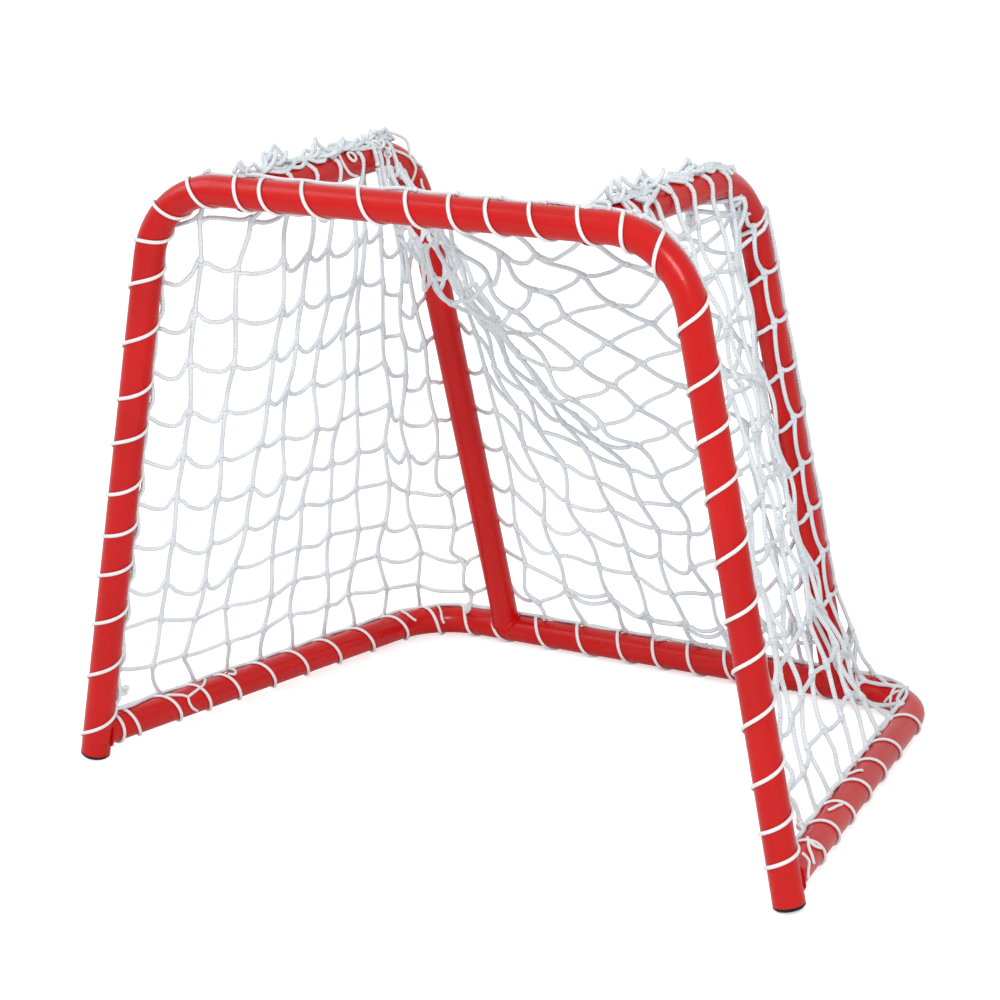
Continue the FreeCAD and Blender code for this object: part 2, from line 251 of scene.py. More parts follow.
def cap_plastic():
    """Moulded plastic: a fine grain and paler rubbed spots."""
    material, tree, shader, here = new_material("black_cap_plastic")
    rubbed = noise_mask(tree, here, 160.0, 0.5, 0.75)
    tree.links.new(mix_colour(tree, rubbed, CAP_BLACK, CAP_RUBBED), shader.inputs["Base Color"])
    tree.links.new(math_node(tree, "MULTIPLY_ADD", rubbed, 0.15, 0.42), shader.inputs["Roughness"])
    shader.inputs["Specular IOR Level"].default_value = 0.15
    grain = noise_mask(tree, here, 900.0, 0.3, 0.7)
    tree.links.new(add_bump(tree, grain, 0.0001), shader.inputs["Normal"])
    return material


cap_material = cap_plastic()
for name in ("foot_cap_left", "foot_cap_right"):
    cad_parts[name].data.materials.clear()
    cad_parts[name].data.materials.append(cap_material)

# The front lacing
# One white braided cord, slightly flattened, winds 35 times round the legs and the crossbar.
# It holds the net's front border behind the legs and on top of the crossbar.
LACE_WIDTH = 0.0039
LACE_THICKNESS = 0.0030
LACE_SIDES = 10
LACE_WHITE = (0.86, 0.86, 0.86)
LACE_SHADE = (0.70, 0.71, 0.73)
SEEN_SIDE = np.array([0.49, -0.83, 0.27])
LEFT_LEG_SPACING = [70, 60, 56, 44, 48, 60, 48, 64, 64, 43, 39]
CROSSBAR_SPACING = [43, 55, 28, 52, 68, 52, 48, 40, 48, 52, 43]
RIGHT_LEG_SPACING = [35, 70, 58, 50, 50, 62, 58, 46, 54, 60, 50, 34]
FRONT_SPACING = np.array(LEFT_LEG_SPACING + CROSSBAR_SPACING + RIGHT_LEG_SPACING) / 1000
STEPS_A_TURN = 48
SMOOTHED_STEPS = 14


def swept(points, outward, half_width, half_height, sides):
    """A grid round a line: an ellipse at each point, half_height outward and half_width across."""
    tangent = unit(np.gradient(points, axis=0))
    out = unit(outward - (outward * tangent).sum(-1, keepdims=True) * tangent)
    across = np.cross(tangent, out)
    angle = np.linspace(0, 2 * math.pi, sides, endpoint=False)
    high = np.broadcast_to(half_height, len(points))[:, None, None]
    wide = np.broadcast_to(half_width, len(points))[:, None, None]
    outward_part = np.cos(angle)[None, :, None] * out[:, None] * high
    across_part = np.sin(angle)[None, :, None] * across[:, None] * wide
    return points[:, None] + (outward_part + across_part)


def cord_grids_to_mesh(name, grids, lengths):
    """Closed cords in one mesh: rings joined by quads, a fan at each end.

    grids is cords x rings x sides x 3, and lengths gives each ring's distance along its cord. The map
    that the material reads runs along the cord in metres and once round it.
    """
    cords, rings, sides = grids.shape[:3]
    ring_points = grids.reshape(cords, rings * sides, 3)
    ends = grids[:, [0, -1]].mean(axis=2)
    vertices = np.concatenate([ring_points, ends], axis=1).reshape(-1, 3)
    per_cord = rings * sides + 2
    ring = np.arange(rings - 1)[:, None] * sides
    side = np.arange(sides)[None]
    after = (side + 1) % sides
    quads = np.stack([ring + side, ring + after, ring + sides + after, ring + sides + side], -1)
    side = np.arange(sides)
    after = (side + 1) % sides
    last = (rings - 1) * sides
    first_fan = np.stack([after, side, np.full(sides, rings * sides)], -1)
    last_fan = np.stack([last + side, last + after, np.full(sides, rings * sides + 1)], -1)
    base = np.arange(cords)[:, None, None] * per_cord
    quads = (quads.reshape(1, -1, 4) + base).reshape(-1, 4)
    fans = (np.concatenate([first_fan, last_fan])[None] + base).reshape(-1, 3)
    mesh = bpy.data.meshes.new(name)
    mesh.vertices.add(len(vertices))
    mesh.vertices.foreach_set("co", vertices.astype(np.float32).ravel())
    mesh.loops.add(quads.size + fans.size)
    corners = np.concatenate([quads.ravel(), fans.ravel()])
    mesh.loops.foreach_set("vertex_index", corners.astype(np.int32))
    mesh.polygons.add(len(quads) + len(fans))
    starts = np.concatenate([np.arange(len(quads)) * 4, quads.size + np.arange(len(fans)) * 3])
    mesh.polygons.foreach_set("loop_start", starts.astype(np.int32))
    mesh.update(calc_edges=True)
    mesh.shade_smooth()
    along = np.repeat(lengths[:, :-1, None], sides, axis=2)
    along_next = np.repeat(lengths[:, 1:, None], sides, axis=2)
    turn = np.broadcast_to(np.arange(sides) / sides, along.shape)
    turn_next = turn + 1 / sides
    quad_map = np.stack([along, turn, along, turn_next, along_next, turn_next, along_next, turn], -1)
    fan_map = np.zeros((len(fans), 6))
    layer = mesh.uv_layers.new(name="cord")
    layer.data.foreach_set("uv", np.concatenate([quad_map.ravel(), fan_map.ravel()]).astype(np.float32))
    return mesh


def new_piece(name, mesh, material, replaced):
    """A piece that rides on the goal, takes its finish from a slot and stands for CAD nodes."""
    piece = bpy.data.objects.new(name, mesh)
    bpy.context.scene.collection.objects.link(piece)
    mesh.materials.append(material)
    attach(piece, "root")
    if replaced:
        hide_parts(*replaced)


def beside(line, where, angle, reach):
    """Points round a tube: by distance along it, angle from its seen side, and reach from its middle."""
    where = np.asarray(where, float)
    tangent = direction(line, where)
    out = unit(SEEN_SIDE - (tangent @ SEEN_SIDE)[..., None] * tangent)
    across = np.cross(tangent, out)
    spoke = out * np.cos(angle)[..., None] + across * np.sin(angle)[..., None]
    return at(line, where) + spoke * np.asarray(reach, float)[..., None]


def wound(line, first, spacing, start_turn, end_turn, slack):
    """A cord's middle wound right-handed round a line, and the way out from the tube at each point.

    The cord crosses the seen side first at one distance along the tube and then after each spacing.
    Between crossings it advances evenly, less a little where it lies on that side: slack times the
    sine of the angle from there. A running mean with soft ends rounds the changes of spacing.
    """
    crossings = first + np.concatenate([[0], np.cumsum(spacing)])
    turn = np.arange(start_turn, len(spacing) + end_turn, 1 / STEPS_A_TURN)
    before = crossings[0] + np.minimum(turn, 0) * spacing[0]
    after = np.maximum(turn - len(spacing), 0) * spacing[-1]
    where = np.interp(turn, np.arange(len(crossings)), crossings) + before - crossings[0] + after
    window = np.hanning(2 * SMOOTHED_STEPS + 1)
    middle = np.convolve(where, window / window.sum(), mode="valid")
    where = np.concatenate([where[:SMOOTHED_STEPS], middle, where[-SMOOTHED_STEPS:]])
    where = where - slack * np.sin(2 * math.pi * turn)
    tangent = direction(line, where)
    out = unit(SEEN_SIDE - (tangent @ SEEN_SIDE)[:, None] * tangent)
    across = np.cross(tangent, out)
    angle = 2 * math.pi * turn[:, None]
    spoke = out * np.cos(angle) + across * np.sin(angle)
    return at(line, where) + spoke * (TUBE_RADIUS + LACE_THICKNESS / 2), spoke


def braided_cord():
    """Braided cord: two families of strands cross round it, with painted shade darkening the grooves
    between them.

    Along is the distance along the cord and Around the share of the way round it, both from its map.
    A family's height is the sine of 2 pi (Strands x Around + or - Along / Pitch); the braid's height
    is the product of the two.
    """
    inputs = [("Map", "Vector"), ("Place", "Vector")]
    inputs += [(label, "Float") for label in ("Strands", "Pitch", "Depth")]
    inputs += [("Light", "Color"), ("Shade", "Color")]
    outputs = [("Colour", "Color"), ("Roughness", "Float"), ("Normal", "Vector")]
    group, given, wanted = new_group("braided_cord", inputs, outputs)
    split = group.nodes.new("ShaderNodeSeparateXYZ")
    group.links.new(given["Map"], split.inputs["Vector"])
    around = math_node(group, "MULTIPLY", split.outputs["Y"], given["Strands"])
    along = math_node(group, "DIVIDE", split.outputs["X"], given["Pitch"])
    families = []
    for sense in ("ADD", "SUBTRACT"):
        turns = math_node(group, sense, around, along)
        families.append(math_node(group, "SINE", math_node(group, "MULTIPLY", turns, 2 * math.pi)))
    height = math_node(group, "MULTIPLY_ADD", math_node(group, "MULTIPLY", *families), 0.5, 0.5)
    soil = noise_mask(group, given["Place"], 30.0, 0.45, 0.85)
    # Painted shade: the colour runs to the Shade colour in the grooves between the strands, and also
    # where the soil noise is high.
    groove_shade = math_node(group, "MULTIPLY_ADD", height, -0.7, 0.45)
    groove_shade_and_soil = math_node(group, "MULTIPLY_ADD", soil, 0.6, groove_shade, clamp=True)
    group.links.new(mix_colour(group, groove_shade_and_soil, given["Light"], given["Shade"]), wanted["Colour"])
    group.links.new(math_node(group, "MULTIPLY_ADD", soil, 0.18, 0.62), wanted["Roughness"])
    bump = add_bump(group, height, 0.0003)
    group.links.new(given["Depth"], bump.node.inputs["Distance"])
    group.links.new(bump, wanted["Normal"])
    return group


braid_group = braided_cord()


def braided_white(name, light, shade, strands, pitch, depth):
    """A material of white braided cord."""
    material, tree, shader, here = new_material(name)
    mapped = tree.nodes.new("ShaderNodeUVMap")
    mapped.uv_map = "cord"
    braid = tree.nodes.new("ShaderNodeGroup")
    braid.node_tree = braid_group
    tree.links.new(mapped.outputs["UV"], braid.inputs["Map"])
    tree.links.new(here, braid.inputs["Place"])
    braid.inputs["Strands"].default_value = strands
    braid.inputs["Pitch"].default_value = pitch
    braid.inputs["Depth"].default_value = depth
    braid.inputs["Light"].default_value = (*light, 1)
    braid.inputs["Shade"].default_value = (*shade, 1)
    tree.links.new(braid.outputs["Colour"], shader.inputs["Base Color"])
    tree.links.new(braid.outputs["Roughness"], shader.inputs["Roughness"])
    tree.links.new(braid.outputs["Normal"], shader.inputs["Normal"])
    shader.inputs["Sheen Weight"].default_value = 0.15
    return material


lace_material = braided_white("white_lacing_braid", LACE_WHITE, LACE_SHADE, 4, 0.0050, 0.0004)
lace_path, lace_out = wound(front_line, 0.034, FRONT_SPACING, -0.35, 0.35, 0.001)
lace_grid = swept(lace_path, lace_out, LACE_WIDTH / 2, LACE_THICKNESS / 2, LACE_SIDES)
lace_mesh = cord_grids_to_mesh("front_lacing_cord", lace_grid[None], distances(lace_path)[None])
new_piece("front_lacing_cord", lace_mesh, lace_material, ["lacing_front"])

# The base lacing
# A second cord of the same kind winds 30 times round the base tube, from one leg to the other.
# It holds the net's lower border on top of the tube.
LEFT_RAIL_SPACING = [17, 66, 46, 46, 57, 55, 56, 58, 62, 57, 46]
REAR_RAIL_SPACING = [40, 64, 56, 55, 46, 46, 48, 55, 57, 57, 57]
RIGHT_RAIL_SPACING = [84, 88, 63, 64, 67, 56, 55]
BASE_SPACING = np.array(LEFT_RAIL_SPACING + REAR_RAIL_SPACING + RIGHT_RAIL_SPACING) / 1000
base_path, base_out = wound(base_line, 0.023, BASE_SPACING, -0.30, 0.30, 0.001)
base_path[:, 2] = np.maximum(base_path[:, 2], LACE_THICKNESS / 2 + 0.0002)
base_grid = swept(base_path, base_out, LACE_WIDTH / 2, LACE_THICKNESS / 2, LACE_SIDES)
base_mesh = cord_grids_to_mesh("base_lacing_cord", base_grid[None], distances(base_path)[None])
new_piece("base_lacing_cord", base_mesh, lace_material, ["lacing_base"])

# The net
# One piece of netting, square meshes of about 50 mm in 5 mm braided twine, hangs loose in the frame.
# Its borders are held on the front hoop and the base, and it is tied along the tops of the arms.
# It is laid out as a band of meshes round the sides and the back, with a strip above as its roof.
BAR = 0.0525
TWINE_RADIUS = 0.0025
LEFT_MESHES = 11
BACK_MESHES = 14
RIGHT_MESHES = 9
HIGH_MESHES = 12
ROOF_MESHES = 4
FREE_EDGE_MESHES = 8
REAR_RAIL_MESHES = 7
RIGHT_SEAM = LEFT_MESHES + BACK_MESHES
ACROSS_MESHES = LEFT_MESHES + BACK_MESHES + RIGHT_MESHES
HELD_OFF = TUBE_RADIUS + TWINE_RADIUS
LINKS_A_BAR = 3
FALL_STEPS = 400
STEP_TIME = 0.006
PULL_ROUNDS = 16
SEARCH_EVERY = 12
SETTLING_STEPS = 40
NEAR_A_TUBE = 0.045
LENGTH_SPREAD = 0.06
SHORTEST_BAR = 0.004
DRAG = 0.985
FRICTION = 0.6
TOP_SPEED = 1.2
FLOOR_CLEARANCE = 0.004
CREASE_DEPTH = 0.0026
JOINT_RISE = 0.0042
SWELL_LENGTH = 0.0045
TWINE_STATIONS = [0, 0.035, 0.07, 0.11, 0.17, 0.28, 0.40, 0.5, 0.60, 0.72, 0.83, 0.89, 0.93, 0.965, 1]
front_length = distances(front_line)[-1]
base_length = distances(base_line)[-1]


def held_on_front(where):
    """Points on the front hoop's rear side, turned inward on the legs and up on the crossbar."""
    tangent = direction(front_line, where)
    inward = np.cross(tangent, [0.0, 1.0, 0.0])
    facing = (inward * (np.array([0, FRONT_Y, 0.3]) - at(front_line, where))).sum(-1, keepdims=True)
    inward = np.where(facing < 0, -inward, inward)
    lean = 0.6 - 2.0 * np.abs(tangent[..., :1])
    return at(front_line, where) + unit(np.array([0, 0.8, 0]) + inward * lean) * HELD_OFF


def held_on_base(where):
    """Points on the base's upper side, turned outward on the left and rear rails, inward on the right."""
    tangent = direction(base_line, where)
    inward = np.cross(tangent, [0.0, 0.0, 1.0])
    facing = (inward * (np.array([0, -0.05, 0]) - at(base_line, where))).sum(-1, keepdims=True)
    inward = np.where(facing < 0, -inward, inward)
    lean = 0.66 - 0.9 * np.abs(tangent[..., :1]) - 1.0 * (where < 0.55)[..., None]
    return at(base_line, where) + unit(np.array([0, 0, 0.75]) + inward * lean) * HELD_OFF


def held_on_arm(line, side, where):
    """Points on a rear hoop: on top of the arm, and round to its outer side along the bend."""
    turned = np.clip((where - 0.26) / 0.16, 0, 1)[:, None]
    lift = unit(turned * np.array([side, 0.0, 0.0]) + (1 - turned) * np.array([0.0, 0.0, 1.0]))
    return at(line, where) + lift * HELD_OFF


def roof_joints():
    """The roof strip's joints, column by column from the left, and which of them are held.

    Its first row lies on the crossbar's right half. From there it is a free edge that crosses to the
    left arm's rear end, where the whole left column is gathered. The right column is tied along the
    right arm.
    """
    column, row = np.meshgrid(np.arange(BACK_MESHES + 1), np.arange(ROOF_MESHES + 1), indexing="ij")
    from_left = (column / BACK_MESHES)[..., None]
    down = np.arange(ROOF_MESHES + 1) / ROOF_MESHES
    gathered = held_on_arm(rear_line_left, -1, 0.240 + 0.030 * down)
    tied = held_on_arm(rear_line_right, 1, 0.030 + 0.300 * down)
    joints = gathered[None] * (1 - from_left) + tied[None] * from_left
    joints[..., 2] -= 0.10 * np.sin(math.pi * from_left[..., 0])
    on_bar = np.arange(BACK_MESHES + 1 - FREE_EDGE_MESHES)
    along_bar = held_on_front(front_length / 2 + 0.010 + 0.048 * on_bar)
    share = (np.arange(FREE_EDGE_MESHES) / FREE_EDGE_MESHES)[:, None]
    joints[:FREE_EDGE_MESHES, 0] = gathered[0] * (1 - share) + along_bar[0] * share
    joints[FREE_EDGE_MESHES:, 0] = along_bar
    held = (column == 0) | (column == BACK_MESHES) | ((row == 0) & (column >= FREE_EDGE_MESHES))
    for edge, where, angle in ((BACK_MESHES - 1, 0.300, 0.35), (BACK_MESHES, 0.302, 1.30)):
        joints[edge, -1] = beside(rear_line_right, where, np.array(angle), HELD_OFF)
        held[edge, -1] = True
    return joints, held


def hold_on_posts(joints, held):
    """Holds the band's columns that run down the rear posts; it changes both arrays.

    On the left one column lies behind the post's lower half. On the right six columns are drawn
    together and cross: four behind the post and round to its outer edge, one down its seen side and
    one at its inner edge. The last two are also held on the rear rail, just right of the post's foot.
    """
    rows = np.arange(5, HIGH_MESHES)
    where = distances(rear_line_left)[-1] - 0.012 - 0.0515 * (HIGH_MESHES - rows)
    joints[rows, LEFT_MESHES] = at(rear_line_left, where) + np.array([0, HELD_OFF, 0])
    held[rows, LEFT_MESHES] = True
    down_post = np.arange(1, 10)
    steady = np.ones(len(down_post))
    drawn_together = (
        (RIGHT_SEAM - 5, 5, 5, -2.7 * steady, 0.005),
        (RIGHT_SEAM - 4, 5, 6, -2.4 * steady, 0.007),
        (RIGHT_SEAM - 3, 4, 7, -2.1 * steady, 0.004),
        (RIGHT_SEAM - 2, 1, 9, -1.8 * steady, 0.000),
        (RIGHT_SEAM - 1, 1, 9, 0.05 - 0.006 * down_post ** 2, 0.000),
        (RIGHT_SEAM, 1, 9, 1.7 - 0.12 * (down_post - 1), 0.001),
    )
    for column, first_row, last_row, angle, heaped in drawn_together:
        rows = down_post[first_row - 1:last_row]
        where = 0.356 + 0.0597 * (rows - 1) + 0.018 * np.maximum(column - RIGHT_SEAM + 1, 0)
        spoke = angle[first_row - 1:last_row] + 0.12 * np.sin(2.3 * rows + column)
        reach = np.full(len(rows), HELD_OFF + heaped)
        joints[rows, column] = beside(rear_line_right, where, spoke, reach)
        held[rows, column] = True
    for column, where, angle in ((RIGHT_SEAM - 1, 1.114, -0.75), (RIGHT_SEAM, 1.106, 0.75)):
        joints[-2, column] = beside(base_line, where, np.array(angle), HELD_OFF)
        held[-2, column] = True


def band_joints(roof_end):
    """The band's joints, row by row from the top, and which of them are held.

    The top row runs from the left leg along the left arm, over the roof strip's last row and along
    the right arm to the right leg. The bottom row lies on the base, drawn together at the right
    post's foot, and the end columns lie on the legs. The rows between start on straight lines from
    top to bottom, behind the posts at the back, and to the right of both arms in the first two rows.
    """
    column = np.arange(ACROSS_MESHES + 1)
    row = np.arange(HIGH_MESHES + 1)
    bar_middle = front_length / 2
    rail_middle = base_length / 2
    left_top = np.vstack(
        [
            held_on_front(bar_middle + np.array([-0.390, -0.236])),
            held_on_arm(rear_line_left, -1, 0.0265 + 0.044 * np.arange(LEFT_MESHES - 1)),
        ]
    )
    right_top = np.vstack(
        [
            held_on_arm(rear_line_right, 1, 0.330 - 0.0370 * np.arange(RIGHT_MESHES - 1)),
            held_on_front(bar_middle + np.array([0.245, 0.390])),
        ]
    )
    top = np.vstack([left_top, roof_end[1:-1], right_top])
    rail_marks = (
        (0, 0.050),
        (LEFT_MESHES, rail_middle - 0.222),
        (LEFT_MESHES + REAR_RAIL_MESHES, rail_middle + 0.160),
        (RIGHT_SEAM - 3, rail_middle + 0.208),
        (RIGHT_SEAM - 1, 1.174),
        (ACROSS_MESHES, base_length - 0.050),
    )
    bottom = held_on_base(np.interp(column, *zip(*rail_marks)))
    down = (row / HIGH_MESHES)[:, None, None]
    joints = top[None] * (1 - down) + bottom[None] * down
    posts = [LEFT_MESHES - 1, LEFT_MESHES, RIGHT_SEAM, RIGHT_SEAM + 1]
    joints[1:-1, :, 1] += np.interp(column, posts, [0, 0.030, 0.030, 0])
    over_arm = (column >= 2) & (column <= 8)
    over_arm |= (column > RIGHT_SEAM) & (column < ACROSS_MESHES - 1)
    joints[1, over_arm, 0] += 0.032
    joints[2, over_arm, 0] += 0.020
    beside_posts = np.interp(column, [LEFT_MESHES - 3, LEFT_MESHES], [0, -0.022])
    beside_posts[LEFT_MESHES + 1:RIGHT_SEAM] = 0
    joints[1:-1, :, 0] += beside_posts
    leg = np.interp(row, [0, 1, HIGH_MESHES - 1, HIGH_MESHES], [0.620, 0.592, 0.096, 0.050])
    joints[:, 0] = held_on_front(leg)
    joints[:, -1] = held_on_front(front_length - leg)
    held = np.zeros(joints.shape[:2], bool)
    held[:, [0, -1]] = True
    held[-1] = True
    held[0, :LEFT_MESHES] = True
    held[0, RIGHT_SEAM:] = True
    hold_on_posts(joints, held)
    return joints, held


def lay_out_net():
    """The net's joints before it hangs, which of them are held, and its bars.

    Of each bar it gives the two joints, its share of a full bar's length, whether it lies across (1)
    or down (0), and its part of the net: the roof (0), the left side, the back or the right side (3).
    """
    roof, roof_held = roof_joints()
    band, band_held = band_joints(roof[:, -1])
    roof_number = np.arange(roof_held.size).reshape(roof_held.shape)
    band_number = roof_held.size + np.arange(band_held.size).reshape(band_held.shape)
    band_number[0, LEFT_MESHES:RIGHT_SEAM + 1] = roof_number[:, -1]
    top_left = band_number[0, :LEFT_MESHES + 1]
    top_right = band_number[0, RIGHT_SEAM:]
    places = np.concatenate([roof.reshape(-1, 3), band.reshape(-1, 3)])
    held = np.concatenate([roof_held.ravel(), band_held.ravel()])

    # A bar's share is under 1 where the net is gathered or drawn tight, and over 1 where it is slack.
    roof_down = np.interp(np.arange(BACK_MESHES + 1), [0, 1, 4], [0.40, 0.50, 1.0])[:, None]
    roof_across = np.ones((BACK_MESHES, ROOF_MESHES + 1))
    roof_across[:FREE_EDGE_MESHES, 0] = 0.88
    roof_across[:3, 1:] = 0.74
    band_down = np.ones((HIGH_MESHES, ACROSS_MESHES + 1))
    band_down[:, 1:LEFT_MESHES - 1] = 0.95
    band_down[:9, LEFT_MESHES + 3:RIGHT_SEAM - 1] = 0.90
    band_down[HIGH_MESHES - 2, LEFT_MESHES + 2:RIGHT_SEAM - 1] = 0.15
    row = np.arange(1, HIGH_MESHES + 1)[:, None]
    band_across = np.ones((HIGH_MESHES, ACROSS_MESHES))
    band_across[:, LEFT_MESHES:RIGHT_SEAM] = np.interp(row, [1, HIGH_MESHES - 1], [1.0, 1.04])
    band_across[:, RIGHT_SEAM:] = np.interp(row, [1, 5, HIGH_MESHES - 2], [0.74, 0.95, 1.14])

    roof_part, left, back, right = range(4)
    column = np.arange(ACROSS_MESHES + 1)
    part_down = np.where(column < LEFT_MESHES, left, np.where(column > RIGHT_SEAM, right, back))
    part_across = np.where(column[:-1] >= RIGHT_SEAM, right, part_down[:-1])
    groups = [
        (roof_number[:, :-1], roof_number[:, 1:], roof_down, 0, roof_part),
        (roof_number[:-1], roof_number[1:], roof_across, 1, roof_part),
        (band_number[:-1], band_number[1:], band_down, 0, part_down),
        (band_number[1:, :-1], band_number[1:, 1:], band_across, 1, part_across),
        (top_left[:-1], top_left[1:], 1.0, 1, left),
        (top_right[:-1], top_right[1:], 1.0, 1, right),
    ]

    def for_each_bar(entry):
        """One entry of the groups, with a value for each bar."""
        rows = [np.broadcast_to(group[entry], group[0].shape).ravel() for group in groups]
        return np.concatenate(rows)

    starts, ends, share, flat, part = (for_each_bar(entry) for entry in range(5))
    used, bars = np.unique(np.stack([starts, ends], 1), return_inverse=True)
    return places[used], held[used], bars.reshape(-1, 2), share, flat, part


def tube_stretches():
    """The four tubes as straight stretches, one per run and short ones in the bends.

    Each has its start and the way from there to its end.
    """
    ends = []
    for line in (front_line, base_line, rear_line_left, rear_line_right):
        marks = distances(line)
        where = np.linspace(0, marks[-1], 60)
        way = direction(line, where)
        bent = np.linalg.norm(np.diff(way, axis=0), axis=1) > 1e-3
        keep = np.concatenate([[True], bent[1:] | bent[:-1], [True]])
        points = at(line, where[keep])
        ends.append(np.stack([points[:-1], points[1:]], 1))
    stretches = np.concatenate(ends)
    return stretches[:, 0], stretches[:, 1] - stretches[:, 0]


def hang(places, held, bars, slack):
    """The net's shape after it has fallen loose over the tubes and come to rest.

    Each bar is a few links that bend freely but don't stretch. At each step every point falls a
    little, then the links pull their ends together where they are too long, many times over, and
    points inside a tube are pushed out of it and held back by friction.
    """
    rng = np.random.default_rng(3)
    joints, count = len(places), len(bars)
    span = places[bars[:, 1]] - places[bars[:, 0]]
    inner = [places[bars[:, 0]] + span * (k + 1) / LINKS_A_BAR for k in range(LINKS_A_BAR - 1)]
    points = np.vstack([places] + inner)
    between = [joints + k * count + np.arange(count) for k in range(LINKS_A_BAR - 1)]
    chain = [bars[:, 0]] + between + [bars[:, 1]]
    first = np.concatenate(chain[:-1])
    last = np.concatenate(chain[1:])
    pinned = np.zeros(len(points), bool)
    pinned[:joints] = held
    length = BAR * slack * (1 + LENGTH_SPREAD * rng.standard_normal(count)).clip(0.85, 1.15)
    reach = np.linalg.norm(span, axis=1)
    both = held[bars[:, 0]] & held[bars[:, 1]]
    length = np.where(both, np.clip(length, reach * 1.005, reach * 1.04), length)
    link = np.tile(np.maximum(length, SHORTEST_BAR) / LINKS_A_BAR, LINKS_A_BAR)
    points += rng.normal(0, 0.001, points.shape) * ~pinned[:, None]
    loose = (~pinned).astype(float)[:, None]
    pull_first = loose[first] / np.maximum(loose[first] + loose[last], 1)
    pull_last = loose[last] / np.maximum(loose[first] + loose[last], 1)
    links_at = np.bincount(first, minlength=len(points)) + np.bincount(last, minlength=len(points))
    ease = (0.92 * np.minimum(1, 4 / np.maximum(links_at, 1)))[:, None]
    root, reach_of = tube_stretches()
    reach_squared = (reach_of ** 2).sum(1)
    free = np.where(~pinned)[0]
    speed = np.zeros_like(points)

    def near_tubes():
        """The loose points that are near a tube, each with up to three stretches of tube near it."""
        share = ((points[free] @ reach_of.T - (root * reach_of).sum(1)) / reach_squared).clip(0, 1)
        gap = np.linalg.norm(points[free][:, None] - root - share[..., None] * reach_of, axis=2)
        order = np.argsort(gap, axis=1)[:, :3]
        close = np.take_along_axis(gap, order, 1) < HELD_OFF + NEAR_A_TUBE
        return np.broadcast_to(free[:, None], order.shape)[close], order[close]

    def keep_out(before):
        """Pushes points out of the tubes and up from the floor, and slows their slide on a tube."""
        share = ((points[near] - root[tube]) * reach_of[tube]).sum(1) / reach_squared[tube]
        away = points[near] - root[tube] - share.clip(0, 1)[:, None] * reach_of[tube]
        gap = np.linalg.norm(away, axis=1)
        inside = gap < HELD_OFF
        who = near[inside]
        out = away[inside] / np.maximum(gap[inside], 1e-9)[:, None]
        points[who] += out * (HELD_OFF - gap[inside])[:, None]
        moved = points[who] - before[who]
        points[who] -= FRICTION * (moved - (moved * out).sum(1)[:, None] * out)
        low = (points[:, 2] < FLOOR_CLEARANCE) & ~pinned
        points[low, 2] = FLOOR_CLEARANCE

    for step in range(FALL_STEPS):
        if step % SEARCH_EVERY == 0:
            near, tube = near_tubes()
        speed[:, 2] -= 9.81 * STEP_TIME
        speed *= DRAG * loose
        before = points.copy()
        points += speed * STEP_TIME
        settling = step >= FALL_STEPS - SETTLING_STEPS
        for again in range(PULL_ROUNDS * 4 if settling else PULL_ROUNDS):
            gap = points[last] - points[first]
            size = np.sqrt((gap * gap).sum(1))
            short = gap * (np.maximum(size - link, 0) / np.maximum(size, 1e-9))[:, None]
            for axis in range(3):
                moved = np.bincount(first, short[:, axis] * pull_first[:, 0], minlength=len(points))
                moved -= np.bincount(last, short[:, axis] * pull_last[:, 0], minlength=len(points))
                points[:, axis] += moved * ease[:, 0]
            if again % 5 == 4:
                keep_out(before)
        keep_out(before)
        speed = (points - before) / STEP_TIME
        pace = np.linalg.norm(speed, axis=1)
        speed *= np.minimum(1, TOP_SPEED / np.maximum(pace, 1e-9))[:, None]
    return points[np.array(chain)].transpose(1, 0, 2)


def creased(points):
    """Points of the net moved by the creases that packing has left in it.

    The move is the sum of six sine waves in space, each along its own direction. It fades out near
    the tubes, where the net is held.
    """
    rng = np.random.default_rng(5)
    heading = unit(rng.normal(size=(6, 3)))
    wavelength = rng.uniform(0.055, 0.120, 6)
    sway = unit(rng.normal(size=(6, 3))) * CREASE_DEPTH
    phase = rng.uniform(0, 2 * math.pi, 6)
    waves = np.sin(points @ (heading * 2 * math.pi / wavelength[:, None]).T + phase)
    root, reach_of = tube_stretches()
    flat_points = points.reshape(-1, 3)
    share = (flat_points @ reach_of.T - (root * reach_of).sum(1)) / (reach_of ** 2).sum(1)
    spots = root + share.clip(0, 1)[..., None] * reach_of
    gap = np.linalg.norm(flat_points[:, None] - spots, axis=2).min(1).reshape(points.shape[:-1])
    free = ((gap - TUBE_RADIUS - TWINE_RADIUS - 0.002) / 0.030).clip(0, 1)
    return points + (waves @ sway) * free[..., None]


def cubic(t, start, leave, end, arrive):
    """The cubic from start to end with a slope at either end, at the share t of the way."""
    return (
        (2 * t ** 3 - 3 * t ** 2 + 1) * start
        + (t ** 3 - 2 * t ** 2 + t) * leave
        + (3 * t ** 2 - 2 * t ** 3) * end
        + (t ** 3 - t ** 2) * arrive
    )


